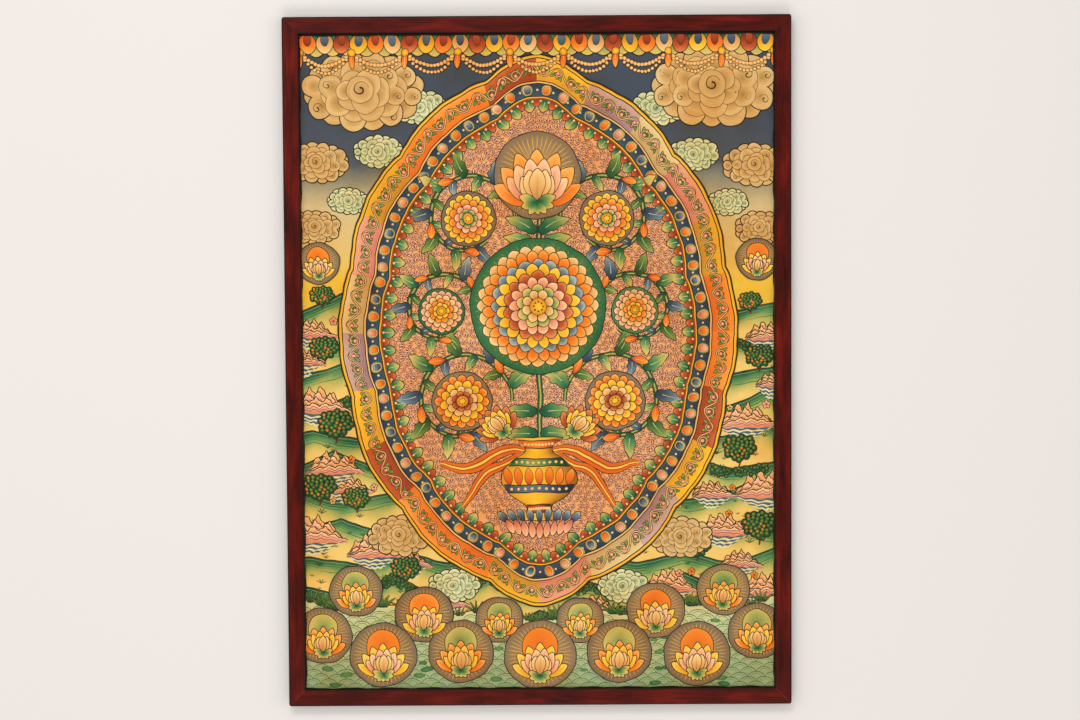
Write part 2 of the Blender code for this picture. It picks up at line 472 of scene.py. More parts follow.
# Each pigment's ramp runs from its deepest shade to its palest tint
pigments = {
    "soot_ink": [(0.0, "#15100d"), (1.0, "#4a382c")],
    "orpiment_yellow": [(0.0, "#96661a"), (0.35, "#d3982a"), (0.7, "#efbf2a"), (1.0, "#f5d76a")],
    "shell_cream": [(0.0, "#9a6d3f"), (0.35, "#cf9c5e"), (0.7, "#e6bc80"), (1.0, "#f3d9a8")],
    "gold_ochre": [(0.0, "#8c6c40"), (0.35, "#b5935c"), (0.7, "#cfaf7c"), (1.0, "#e6d2a4")],
    "red_lead_orange": [(0.0, "#a8431a"), (0.35, "#da6a1c"), (0.7, "#ec8a28"), (1.0, "#f6b664")],
    "cinnabar_rust": [(0.0, "#5a1f12"), (0.35, "#8c3a1c"), (0.7, "#b9572b"), (1.0, "#dd9360")],
    "lac_pink": [(0.0, "#a34f48"), (0.35, "#d18072"), (0.7, "#e8a98e"), (1.0, "#f4d3b4")],
    "peach_earth": [(0.0, "#ba6c42"), (0.35, "#d48650"), (0.7, "#e3a26c"), (1.0, "#efc490")],
    "lac_mauve": [(0.0, "#4a2f45"), (0.35, "#73506a"), (0.7, "#9a7884"), (1.0, "#c8a9a8")],
    "taupe_earth": [(0.0, "#5b4e45"), (0.35, "#83725f"), (0.7, "#a08d72"), (1.0, "#c3b18f")],
    "malachite_green": [(0.0, "#123f33"), (0.25, "#256a48"), (0.5, "#66945e"), (0.75, "#bfb96c"),
                        (1.0, "#e8cc80")],
    "leaf_green": [(0.0, "#183a26"), (0.35, "#355f31"), (0.7, "#688a45"), (1.0, "#abb86e")],
    "azurite_blue": [(0.0, "#1f2b41"), (0.35, "#3a5074"), (0.7, "#68839d"), (1.0, "#b2c2c4")],
    "pale_verdigris": [(0.0, "#56766a"), (0.35, "#88a48a"), (0.7, "#bccaa2"), (1.0, "#e6e8c8")],
}
coats = {name: [] for name in pigments}


def layPaint(pigment, layer, x, y, tone):
    # x, y and tone are grids of rows by columns for each copy, or for the only one. Every point strays a
    # little, by sines of its place that all coats share, and stops at the sight edge. A coat lies on
    # clothFace plus its layer's height, and a hair that grows by the golden ratio parts its copies. The
    # layer may be a grid too. Quads pressed flat at the edge are dropped, and all face outwards
    x, y, tone = np.broadcast_arrays(x, y, tone)
    if x.ndim == 2:
        x, y, tone = x[None], y[None], tone[None]
    stray = cloth["wander"]
    strayX = stray * (np.sin(y / 9.1 + 1.9 * np.sin(x / 17.3)) + 0.4 * np.sin(y / 3.7 + x / 5.3))
    strayY = stray * (np.sin(x / 8.3 + 1.7 * np.sin(y / 15.1)) + 0.4 * np.sin(x / 3.3 - y / 4.9))
    margin = 0.3    # mm
    halfX, halfY = cloth["sightWidth"] / 2 - margin, cloth["sightHeight"] / 2 - margin
    x = np.clip(x + strayX, -halfX, halfX)
    y = np.clip(y + strayY, -halfY, halfY)
    hair = 0.25 * (np.arange(len(x))[:, None, None] * 0.618034 % 1)
    z = clothFace(x, y) + (layer + hair) * cloth["coat"]
    points = np.stack([x, y, z], -1).reshape(-1, 3)
    quads = gridQuads(*x.shape)
    a, b, c, d = (points[quads[:, i], :2] for i in range(4))
    area = ((c - a)[:, 0] * (d - b)[:, 1] - (c - a)[:, 1] * (d - b)[:, 0]) / 2
    quads = np.where((area < 0)[:, None], quads[:, ::-1], quads)[np.abs(area) > 0.002]
    used, quads = np.unique(quads, return_inverse=True)
    coats[pigment].append((points[used], quads.reshape(-1, 4), np.clip(tone.reshape(-1)[used], 0, 1)))


def makeSpots(x, y, turn=0.0, size=1.0, bend=0.0):
    # one row for each copy: place, turn in degrees left from straight up, size and sideways bend
    return np.stack([np.ravel(c) for c in np.broadcast_arrays(x, y, turn, size, bend)], 1).astype(float)


def withMirror(spots):
    # the same copies again on the other side of the middle line
    return np.concatenate([spots, spots * [-1, 1, -1, 1, -1]])


def onSpots(spots, sideways, forwards):
    # turns a shape drawn upwards from its foot, in units of its size, to every spot
    x, y, turn, size, _ = (c[:, None, None] for c in spots.T)
    cosine, sine = np.cos(np.radians(turn)), np.sin(np.radians(turn))
    across = sideways * cosine - forwards * sine
    upwards = sideways * sine + forwards * cosine
    return x + size * across, y + size * upwards


def unevenTone(spots):
    # the brush is not loaded alike twice
    return dice.uniform(-0.08, 0.08, (len(spots), 1, 1))


def brushPetals(pigment, layer, spots, width=0.5, tones=(0.1, 0.9), widest=0.55, plump=0.8, line=0.9,
                rim=0.0, lobes=0, vein=None, rows=12, columns=3):
    # a petal's half-width is half of width times sin(pi u^k)^plump for u from foot to tip, where k puts the
    # widest place at u = widest, and rows stand closer near both ends. It leans sideways by bend times u
    # squared. An ink line shows round it
    power = math.log(0.5) / math.log(widest)
    u = (1 - np.cos(np.linspace(0, math.pi, rows)))[None, :, None] / 2
    v = np.linspace(-1, 1, columns)[None, None, :]
    bend, size = spots[:, 4][:, None, None], spots[:, 3][:, None, None]
    half = width / 2 * np.sin(math.pi * u**power).clip(1e-4) ** plump
    half = half * (1 + 0.16 * np.sin(2 * math.pi * lobes * u)) if lobes else half
    if line:
        edge = line / size
        sides = np.array([-1, 1])[None, None, :]
        layPaint("soot_ink", layer, *onSpots(spots, sides * (half + edge) + bend * u**2,
                                             u * (1 + 2 * edge) - edge), 0.3)
    tone = tones[0] + (tones[1] - tones[0]) * u + rim * v**2 + unevenTone(spots)
    layPaint(pigment, layer + 0.6, *onSpots(spots, v * half + bend * u**2, u + 0 * v), tone)
    if vein:
        veinPigment, veinTone, veinWidth = vein
        along = np.linspace(0.25, 0.85, 5)[None, :, None]
        across = np.array([-1, 1])[None, None, :]
        layPaint(veinPigment, layer + 1,
                 *onSpots(spots, across * (veinWidth / 2 / size) * (1.1 - along) + bend * along**2,
                          along + 0 * across), veinTone)


def brushRings(pigment, layer, spots, inner=0.0, outer=1.0, tones=(0.3, 0.8), flat=1.0, segments=28,
               rows=3, line=0.0):
    # a disc or ring: its radius runs from the inner to the outer share of the size, and flat is its height
    # as a share of its width. An ink line shows round it
    angle = np.linspace(0, 2 * math.pi, segments + 1)[None, None, :]
    t = np.linspace(0, 1, rows)[None, :, None]
    if line:
        edge = line / spots[:, 3][:, None, None]
        outline = np.array([0, 1])[None, :, None]
        radius = outer * (0.75 + 0.25 * outline) + edge * outline
        layPaint("soot_ink", layer, *onSpots(spots, radius * np.cos(angle), flat * radius * np.sin(angle)),
                 0.3)
    radius = inner + (outer - inner) * t
    layPaint(pigment, layer + 0.6, *onSpots(spots, radius * np.cos(angle), flat * radius * np.sin(angle)),
             tones[0] + (tones[1] - tones[0]) * t + unevenTone(spots))


def brushLines(pigment, layer, pathX, pathY, width, tone=0.5, taper=0.75):
    # a line keeps to its path, a row of points for each copy, and its half-width lies along the path's
    # normal. It thins towards both ends by the taper
    slopeX, slopeY = np.gradient(pathX, axis=1), np.gradient(pathY, axis=1)
    length = np.hypot(slopeX, slopeY).clip(1e-6)
    t = np.linspace(0, 1, pathX.shape[1])[None, :]
    half = np.asarray(width) / 2 * (1 - taper + taper * np.sin(math.pi * t).clip(0) ** 0.6)
    side = np.array([-1, 1])[None, None, :] * half[:, :, None]
    layPaint(pigment, layer, pathX[:, :, None] - side * (slopeY / length)[:, :, None],
             pathY[:, :, None] + side * (slopeX / length)[:, :, None], tone)


def curlPaths(spots, turns=1.2, shrink=0.9, points=22):
    # a curl winds in from its size: the angle grows by turns whole turns and the radius shrinks in step
    t = np.linspace(0, 1, points)[None, :]
    x, y, turn, size, bend = (c[:, None] for c in spots.T)
    angle = np.radians(turn) + np.where(bend < 0, -1, 1) * 2 * math.pi * turns * t
    radius = size * (1 - shrink * t)
    return x + radius * np.cos(angle), y + radius * np.sin(angle)


def bothSides(x, y):
    # a path and its mirror image on the other side of the middle line
    return np.concatenate([x, -x]), np.concatenate([y, y])


def brushBlossoms(layer, spots, rings):
    # an open flower seen from above: rings of petals round each spot, each ring smaller and on top
    for ring in rings:
        angles = np.arange(ring["count"]) * 360 / ring["count"] + ring.get("start", 0)
        turn = spots[:, 2:3] + angles[None, :]
        foot = ring["inner"] * spots[:, 3:4]
        petals = makeSpots(spots[:, 0:1] - foot * np.sin(np.radians(turn)),
                           spots[:, 1:2] + foot * np.cos(np.radians(turn)), turn,
                           (ring["outer"] - ring["inner"]) * spots[:, 3:4])
        chord = 2 * math.pi * (ring["inner"] + 0.6 * (ring["outer"] - ring["inner"])) / ring["count"]
        width = 0.94 * chord / (ring["outer"] - ring["inner"])
        brushPetals(ring["pigment"], layer, petals, width, (0.05, 0.95), 0.6, 0.62, 0.8, rim=0.12,
                    vein=ring.get("vein"))
        layer += 1.2
    smallest = rings[-1]["inner"]
    brushRings("orpiment_yellow", layer, spots, 0, smallest * 1.25, (0.85, 0.25), line=0.7, segments=20)
    angles = np.arange(8) * math.pi / 4
    seeds = makeSpots(spots[:, 0:1] + smallest * 0.7 * spots[:, 3:4] * np.cos(angles),
                      spots[:, 1:2] + smallest * 0.7 * spots[:, 3:4] * np.sin(angles),
                      0, smallest * 0.16 * spots[:, 3:4])
    brushRings("cinnabar_rust", layer + 1, seeds, tones=(0.5, 0.2), segments=8, rows=2)


def brushLotuses(layer, spots, back, middle, front):
    # a lotus seen from the side: three fans of petals, the front one shortest, which lean in like a cup, and
    # under them a skirt of short petals that hang
    fans = [(back, 7, 78, 1.0, 0.34), (middle, 6, 60, 0.84, 0.36), (front, 5, 40, 0.66, 0.42)]
    for pigment, count, spread, share, width in fans:
        fromMiddle = np.linspace(-1, 1, count)[None, :]
        petals = makeSpots(spots[:, 0:1], spots[:, 1:2], spots[:, 2:3] + spread * fromMiddle,
                           spots[:, 3:4] * share * (1 - 0.16 * fromMiddle**2), 0.2 * fromMiddle)
        steps = (count - 1) / 2
        lifts = np.tile(0.9 * steps * (1 - np.abs(fromMiddle)), (len(spots), 1)).reshape(-1, 1, 1)
        brushPetals(pigment, layer + lifts, petals, width, (0.0, 0.95), 0.62, 0.7, 0.8, rim=0.15,
                    vein=("cinnabar_rust", 0.3, 0.45), rows=18)
        layer += 0.9 * steps + 1.2
    angles = np.array([-104, -72, -36, 0, 36, 72, 104])[None, :]
    hanging = makeSpots(spots[:, 0:1], spots[:, 1:2] + spots[:, 3:4] * 0.04, spots[:, 2:3] + 180 + angles,
                        spots[:, 3:4] * (0.22 + 0.12 * np.abs(angles) / 104), -0.1 * angles / 104)
    brushPetals("malachite_green", layer, hanging, 0.52, (0.1, 0.95), 0.55, 0.7, 0.8, rim=0.1, rows=8)


def brushMedallions(layer, spots, ground, rays, inner, flat=1.0):
    # a round field with an ink rim and fine gold rays, which start at the inner share of its size
    brushRings(ground, layer, spots, tones=(0.9, 0.3), flat=flat, segments=120, rows=4, line=1.2)
    turn = np.arange(rays)[None, :] * 360 / rays + np.zeros((len(spots), 1))
    startX = spots[:, 0:1] - inner * spots[:, 3:4] * np.sin(np.radians(turn))
    startY = spots[:, 1:2] + flat * inner * spots[:, 3:4] * np.cos(np.radians(turn))
    gold = makeSpots(startX, startY, turn, spots[:, 3:4] * (0.94 - inner))
    brushPetals("orpiment_yellow", layer + 0.6, gold, 0.032, (0.2, 0.7), line=0, rows=4)


# Hills behind everything: rows of pointed green ridges with bushes and grass

hills = {
    "rows": 12,
    "firstRidge": 66.0,      # mm up from the picture's middle
    "step": 41.0,            # mm from one row down to the next
    "overlap": 6.0,          # mm by which a row goes on under the next
    "points": 200,
    "contours": ((5.5, 0.1), (8.5, 0.18), (12.0, 0.26), (16.0, 0.36)),    # mm below the ridge, and tone
    "tufts": 360,
    "flowers": 34,           # of each colour
    "clumps": 5,             # of bushes on every other ridge
    "bushes": 66,            # in each clump
    "clumpWidth": 76.0,      # mm
}
# each ridge: foot of its crests, their height, the length of a hill and how far the row is shifted
ridges = [(hills["firstRidge"] - row * hills["step"], dice.uniform(18, 33), dice.uniform(92, 150),
           dice.uniform(0, 1)) for row in range(hills["rows"])]


def ridgeLine(x, ridge):
    # height times (1 - tri)^1.4 above the foot, where tri runs from 0 on a crest to 1 in a valley
    foot, height, length, shift = ridge
    place = x / length + shift
    tri = np.abs(2 * (place - np.round(place)))
    return foot + height * (0.75 + 0.25 * np.sin(x / 61 + 7 * shift)) * (1 - tri) ** 1.4


def brushHills():
    # a row's paint hangs from its ridge line and grows paler by the way down to the power 0.7
    x = np.linspace(-0.5, 0.5, hills["points"])[None, :] * cloth["sightWidth"]
    lower = np.linspace(0, 1, 9)[:, None]
    for row, ridge in enumerate(ridges):
        layer = 1 + row
        top = ridgeLine(x, ridge)
        y = top + (ridge[0] - hills["step"] - hills["overlap"] - top) * lower
        reach = (top - y) / (hills["step"] + 2 * hills["overlap"])
        layPaint("malachite_green", layer, x, y,
                 0.08 + 1.25 * reach**0.7 + 0.06 * np.sin(x / 9 + 5 * lower))
        brushLines("soot_ink", layer + 0.4, x, top, 1.3, 0.4, taper=0)
        brushLines("pale_verdigris", layer + 0.4, x, top - 3.0, 0.7, 0.3, taper=0)
        for lowered, tone in hills["contours"]:
            swell = 1.3 * (0.5 + 0.5 * np.sin(x / 17 + 2.1 * lowered + row))
            brushLines("malachite_green", layer + 0.4, x, top - lowered, swell, tone, taper=0)
    layer = 2 + hills["rows"]
    tufts = hills["tufts"]
    tuftX = dice.uniform(-0.5, 0.5, tufts) * cloth["sightWidth"]
    tuftY = dice.uniform(-420, 60, tufts)
    blades = np.array([-44, -15, 14, 42])[None, :]
    spots = makeSpots(tuftX[:, None], tuftY[:, None], blades, dice.uniform(4, 8, (tufts, 1)), -blades / 160)
    brushPetals("leaf_green", layer, spots, 0.17, (0.0, 0.3), line=0, rows=5)
    flowers = hills["flowers"]
    for pigment in ("red_lead_orange", "shell_cream", "lac_pink", "red_lead_orange"):
        x = dice.uniform(-300, 300, (flowers, 1))
        y = dice.uniform(-330, 70, (flowers, 1))
        petals = makeSpots(x, y, np.arange(5)[None, :] * 72, dice.uniform(3.5, 5.5, (flowers, 1)))
        brushPetals(pigment, layer + 1, petals, 0.72, (0.2, 0.9), 0.6, 0.7, 0.7, rows=7)
        hearts = makeSpots(x, y, 0, 1.2)
        brushRings("cinnabar_rust", layer + 2, hearts, tones=(0.3, 0.1), segments=7, rows=2)
    bushes = hills["bushes"]
    for ridge in ridges[1::2]:
        for start in dice.uniform(-300, 250, hills["clumps"]):
            x = start + dice.uniform(0, hills["clumpWidth"], bushes)
            y = ridgeLine(x, ridge) - 1 - dice.uniform(0, 12, bushes)
            spots = makeSpots(x, y, 0, dice.uniform(2.0, 3.3, bushes))
            brushRings("leaf_green", layer, spots, tones=(0.75, 0.0), segments=8, rows=2, line=0.6)
    return layer + 3


# Rocks, trees and clouds: rows of place and size in mm

landscape = {
    "leaves": 38,            # on each tree
    "rocks": [(-290, -62, 34), (-270, -142, 30), (-298, -232, 36), (-216, -252, 32), (-128, -318, 27),
              (-52, -334, 22), (270, -84, 32), (296, -176, 36), (240, -226, 30), (300, -306, 32),
              (168, -300, 30), (70, -328, 24), (-296, 36, 24), (298, 30, 24), (-250, -168, 23),
              (226, -176, 22), (306, -32, 20), (-306, 0, 20), (-170, -266, 20), (262, -268, 22)],
    "trees": [(-280, 0, 18), (-266, -104, 22), (-288, -186, 21), (-240, -196, 17), (-176, -290, 18),
              (288, -14, 18), (276, 62, 14), (-282, 72, 15), (262, -138, 21), (288, -240, 22),
              (206, -262, 17), (116, -322, 17)],
    "goldClouds": [(-226, 354, 66), (230, 358, 68), (-286, 262, 34), (284, 256, 36), (-290, 178, 28),
                   (290, 174, 28), (-184, -226, 34), (186, -230, 34)],
    "paleClouds": [(-150, 332, 29), (156, 330, 29), (-206, 276, 27), (204, 270, 27), (-246, 212, 22),
                   (248, 208, 22), (-112, -292, 28), (110, -294, 28)],
}


def brushRocks(layer):
    # crags: four rows of jagged slabs, each lower than the one behind it. A slab's top is its size times
    # (1 - x^2.4), notched by two triangle waves. Cracks follow the top lower down, over stacked wave lines
    places = np.array(landscape["rocks"], float)
    middleX, baseY, size = places[:, 0:1], places[:, 1:2], places[:, 2:3]
    across = np.linspace(-1, 1, 49)[None, :]
    phase = dice.uniform(0, 1, (len(places), 1))
    slabs = (("peach_earth", 1.0, 0.1), ("lac_pink", 0.78, 0.2), ("peach_earth", 0.56, 0.3),
             ("lac_pink", 0.34, 0.4))
    for row, (pigment, share, footTone) in enumerate(slabs):
        teeth = np.abs(2 * ((2.6 * across + phase + 0.37 * row) % 1) - 1)
        nicks = np.abs(2 * ((6.3 * across - phase + 0.21 * row) % 1) - 1)
        height = share * (1 - np.abs(across) ** 2.4) * (0.55 + 0.35 * teeth + 0.12 * nicks)
        x = middleX + size * 1.15 * across + 2 * row
        top = baseY + size * height
        foot = baseY - 3 + 0 * across
        down = np.linspace(0, 1, 7)[None, :, None]
        y = top[:, None, :] * (1 - down) + foot[:, None, :] * down
        layPaint(pigment, layer, x[:, None, :], y, 1 + (footTone - 1) * down**0.7)
        brushLines("soot_ink", layer + 0.5, x, top + 0.4, 1.2, 0.4, taper=0)
        for depth in (0.3, 0.6):
            crack = top * (1 - depth) + foot * depth + 0.8 * np.sin(19 * across)
            brushLines("lac_mauve", layer + 0.5, x, crack, 0.8, 0.2, taper=0.9)
        layer += 1
    t = np.linspace(-1, 1, 25)[None, :]
    for line in range(6):
        x = middleX + size * (1.18 - 0.14 * line) * t
        y = baseY - 1 - 2.4 * line - size * 0.12 * (1 - t**2) + 0.9 * np.sin(13 * t + line)
        pigment, tone = (("azurite_blue", 0.45), ("pale_verdigris", 0.9))[line % 2]
        brushLines(pigment, layer + 0.5 * line, x, y, 2.5, tone)
    return layer + 3.5


def brushTrees(layer):
    # leaves lie on a spiral: each is 2.4 radians on from the last, and the root of its number outwards
    places = np.array(landscape["trees"], float)
    x, y, size = places[:, 0:1], places[:, 1:2], places[:, 2:3]
    t = np.linspace(0, 1, 9)[None, :]
    brushLines("cinnabar_rust", layer, x + 1.6 * np.sin(5 * t), y + size * 1.1 * t, 2.4, 0.1, taper=0.2)
    number = np.arange(landscape["leaves"])[None, :]
    radius = size * 0.9 * np.sqrt((number + 0.5) / landscape["leaves"])
    leafX = x + radius * np.cos(number * 2.4) * 1.1
    leafY = y + size * 1.2 + radius * np.sin(number * 2.4) * 0.8
    leaves = makeSpots(leafX, leafY, 0, size * 0.2)
    brushRings("leaf_green", layer + 0.5, leaves, tones=(0.35, 0.0), segments=13, rows=2, line=0.7)
    lights = makeSpots(leafX - 0.5, leafY + 0.6, 0, size * 0.1)
    brushRings("leaf_green", layer + 1.2, lights, tones=(0.8, 0.45), segments=10, rows=2)
    fruit = makeSpots(leafX[:, ::5], leafY[:, ::5], 0, 1.6)
    brushRings("red_lead_orange", layer + 2, fruit, tones=(0.8, 0.3), segments=8, rows=2)


def brushClouds(layer, places, pigment, tones):
    # a cloud is a heap of round puffs on three ovals, one inside the other, with one puff in the middle.
    # Every other puff of an oval lies over its neighbours, and bears a curl of ink if it stands well to one
    # side. A puff has a pale rim, a deeper heart a little towards the cloud's middle and ink round it
    places = np.array(places, float)
    x, y, size = places[:, 0:1], places[:, 1:2], places[:, 2:3]
    brushRings(pigment, layer, makeSpots(x, y, 0, size * 0.9), flat=0.5, tones=(0.3, 0.5), segments=40)
    for count, reach, share in ((16, 1.0, 0.23), (12, 0.66, 0.24), (7, 0.34, 0.23), (1, 0.08, 0.26)):
        angle = 2 * math.pi * (np.arange(count)[None, :] + 0.35) / count + 0.3 * np.sin(x)
        puffSize = size * share * (0.76 + 0.36 * np.abs(np.sin(angle)) + 0.09 * np.sin(7 * angle + x))
        puffX = x + size * reach * np.cos(angle)
        puffY = y + size * reach * 0.52 * np.sin(angle)
        inX, inY = -np.cos(angle) * puffSize, -np.sin(angle) * puffSize
        puffs = makeSpots(puffX, puffY, 0, puffSize)
        hearts = makeSpots(puffX + 0.14 * inX, puffY + 0.14 * inY, 0, 0.80 * puffSize)
        upper = np.tile(np.arange(count) % 2 == (count > 1), len(places))
        for some in (~upper, upper):
            if some.any():
                layer += 1.2
                brushRings(pigment, layer, puffs[some], tones=(tones[1], tones[1]), segments=30, rows=2,
                           line=1.3 if reach == 1 else 0.6)
                brushRings(pigment, layer + 0.4, hearts[some], tones=tones, segments=20)
        if count == 7:    # hidden too far for curls
            continue
        curled = upper & (np.abs(np.cos(angle)) > 0.45).ravel() | (count == 1)
        away = np.where(np.cos(angle) >= 0, 1, -1)
        shift, curlShare = (0.34, 0.46) if count > 1 else (0, 0.66)
        curls = makeSpots(puffX - shift * inX, puffY - shift * inY, 90 + 70 * away, puffSize * curlShare,
                          -away)[curled]
        swell = curls[:, 3:4] * (0.07 + 0.20 * np.linspace(0, 1, 24)[None, :] ** 1.5)
        brushLines("soot_ink", layer + 1.1, *curlPaths(curls, 1.25, 0.9, 24), swell, 0.4, taper=0.25)
    return layer + 3


treeLayer = brushRocks(brushHills())
brushTrees(treeLayer)
goldLayer = brushClouds(treeLayer, landscape["paleClouds"], "pale_verdigris", (0.24, 0.84))
panelLayer = brushClouds(goldLayer, landscape["goldClouds"], "gold_ochre", (0.20, 0.74))
print("picture: hills, rocks, trees and clouds")


# The lobed panel in the middle, with its bands

panel = {
    "halfWidth": 252.0,
    "halfHeight": 325.0,
    "middle": 40.0,          # mm above the picture's middle
    "lobes": 12,
    "lobeDepth": 0.030,
    "peak": 24.0,            # mm by which it is drawn out to a point at top and bottom
    "fieldEdge": 68.0,       # mm of bands round the field
    "stretches": 24,         # of colour in the outer band
    "waves": 46,             # of the branch that winds in it
    "jewels": 74,
    "fringe": 66,            # petals that point into the field
    "pearls": 150,
}


def panelEdge(angle, inwards):
    # an oval of twelve lobes: each half-axis less the distance inwards, times 1 + depth |cos(6 angle)|^0.8,
    # with the top and bottom drawn out by the peak times sin(angle)^21
    lobe = 1 + panel["lobeDepth"] * np.abs(np.cos(panel["lobes"] * angle / 2)) ** 0.8
    x = (panel["halfWidth"] - inwards) * np.cos(angle) * lobe
    y = (panel["halfHeight"] - inwards) * np.sin(angle) * lobe + panel["peak"] * np.sin(angle) ** 21
    return x, y + panel["middle"]


def evenAngles(places, inwards):
    # angles whose points stand at the given shares of the way round the panel's edge
    fine = np.linspace(0, 2 * math.pi, 4001)
    x, y = panelEdge(fine, inwards)
    walked = np.concatenate([[0], np.cumsum(np.hypot(np.diff(x), np.diff(y)))])
    return np.interp(places, walked / walked[-1], fine)


def edgeSpots(count, inwards, size, start=0.0, outwards=True, bend=0.0):
    # spots at even distances along the panel's edge, each at right angles to it
    angle = evenAngles((np.arange(count) + start) / count, inwards)
    x, y = panelEdge(angle, inwards)
    aheadX, aheadY = panelEdge(angle + 0.004, inwards)
    heading = np.degrees(np.arctan2(aheadY - y, aheadX - x))
    return makeSpots(x, y, heading - 180 if outwards else heading, size, bend)


def brushBand(pigment, layer, outer, inner, tones, span=(0, 1), points=420):
    # a band between two distances in from the edge, over a span of shares of the way round it
    angle = evenAngles(np.linspace(*span, points + 1), outer)[None, :]
    t = np.linspace(0, 1, 2 + int((inner - outer) / 7))[:, None]
    x, y = panelEdge(angle, outer + (inner - outer) * t)
    layPaint(pigment, layer, x, y, tones[0] + (tones[1] - tones[0]) * t)


def brushPanel(layer):
    # ink lines, then the bands from the edge inwards. Distances are mm in from the panel's edge
    for outer, inner in ((-1.8, 0), (2.8, 4.2), (30.8, 32), (33.8, 35), (49.8, 51)):
        brushBand("soot_ink", layer + 0.3, outer - 0.3, inner + 0.3, (0.3, 0.3))
        brushBand("soot_ink", layer + 0.9, outer, inner, (0.3, 0.3))
    brushBand("orpiment_yellow", layer + 0.5, 0, 3, (0.5, 0.8))
    # outer band: stretches of changing colour, with a winding branch that throws off curls and leaves
    grounds = (("red_lead_orange", 0.75, 0.35), ("orpiment_yellow", 0.6, 0.2), ("lac_pink", 0.65, 0.3),
               ("gold_ochre", 0.95, 0.5), ("lac_mauve", 1.0, 0.7), ("orpiment_yellow", 0.75, 0.4),
               ("cinnabar_rust", 0.75, 0.45), ("red_lead_orange", 0.85, 0.5))
    stretches, waves, jewels = panel["stretches"], panel["waves"], panel["jewels"]
    for number in range(stretches):
        pigment, *tones = grounds[number % len(grounds)]
        brushBand(pigment, layer + 0.5, 4, 31, tones, (number / stretches, (number + 1) / stretches), 20)
    along = np.linspace(0, 1, 900)
    x, y = panelEdge(evenAngles(along, 17), 17.5 + 7.5 * np.sin(2 * math.pi * waves * along))
    brushLines("soot_ink", layer + 1.2, x[None], y[None], 2.6, 0.2, taper=0)
    brushLines("shell_cream", layer + 1.5, x[None], y[None], 1.1, 0.8, taper=0)
    for start, outwards, inwards in ((0.25, True, 19.0), (0.75, False, 16.0)):
        curls = edgeSpots(waves, inwards, 7.0, start, outwards, 1 if outwards else -1)
        wider = curls * [1, 1, 1, 1.06, 1]
        brushLines("cinnabar_rust", layer + 2, *curlPaths(wider, 1.3, 0.85), 2, 0, 0.3)
        brushLines("shell_cream", layer + 2.3, *curlPaths(curls, 1.3, 0.85), 0.8, 0.9, 0.3)
        farCurls = edgeSpots(waves, 35 - inwards - (3 if outwards else -3), 4.4, start, not outwards)
        brushLines("cinnabar_rust", layer + 1.2, *curlPaths(farCurls, 1.2, 0.9, 16), 1.1, 0.1, 0.3)
        for lean in (-58, 58):
            leaves = edgeSpots(waves, inwards, 10.5, start, outwards, 0.2 * np.sign(lean))
            brushPetals("leaf_green", layer + 1.4, leaves + [0, 0, lean, 0, 0], 0.42, (0.3, 0.9), 0.5, 0.8,
                        0.6, rows=8)
        knots = curls * [1, 1, 1, 0.34, 1]
        brushRings("lac_pink", layer + 3, knots, tones=(1.0, 0.3), segments=10, line=0.6)
    brushBand("shell_cream", layer + 0.5, 31.8, 34, (0.8, 0.6))
    # middle band: framed jewels on dark blue
    brushBand("azurite_blue", layer + 0.5, 34.8, 50, (0.1, 0.35))
    brushPetals("malachite_green", layer + 1, edgeSpots(jewels, 49.6, 14.4), 0.98, (0.3, 0.8), 0.5, 0.32, 0.5)
    brushPetals("shell_cream", layer + 1.8, edgeSpots(jewels, 48.6, 12.4), 0.90, (0.6, 0.9), 0.5, 0.32, 0.4)
    for number, pigment in enumerate(("red_lead_orange", "lac_pink", "red_lead_orange", "azurite_blue")):
        stones = edgeSpots(jewels, 47.3, 9.8)[number::4]
        brushPetals(pigment, layer + 2.6, stones, 0.86, (0.2, 0.9), 0.5, 0.36, 0.4)
    beads = edgeSpots(jewels, 42.4, 1.5, 0.5)
    brushRings("shell_cream", layer + 1.4, beads, tones=(1, 0.7), segments=8, rows=2)
    brushBand("orpiment_yellow", layer + 0.5, 50.8, 53, (0.6, 0.7))
    # the field, and a fringe of petals that point into it
    brushBand("peach_earth", layer + 0.5, 53.6, 250, (0.75, 0.9))
    layer += 4
    petals = edgeSpots(panel["fringe"], 53.4, 17, 0, False)
    brushPetals("malachite_green", layer, petals, 0.86, (0.05, 0.85), 0.42, 0.6, 0.9,
                vein=("pale_verdigris", 0.9, 0.8))
    petals = edgeSpots(panel["fringe"], 53.4, 11, 0.5, False)
    brushPetals("cinnabar_rust", layer + 1.2, petals, 0.95, (0.2, 0.9), 0.4, 0.6, 0.8)
    brushBand("cinnabar_rust", layer + 2.4, 52.4, 54.4, (0.5, 0.4))
    pearls = edgeSpots(panel["pearls"], 56.6, 1.7)
    brushRings("shell_cream", layer + 2.6, pearls, tones=(1, 0.5), segments=9, rows=2, line=0.5)


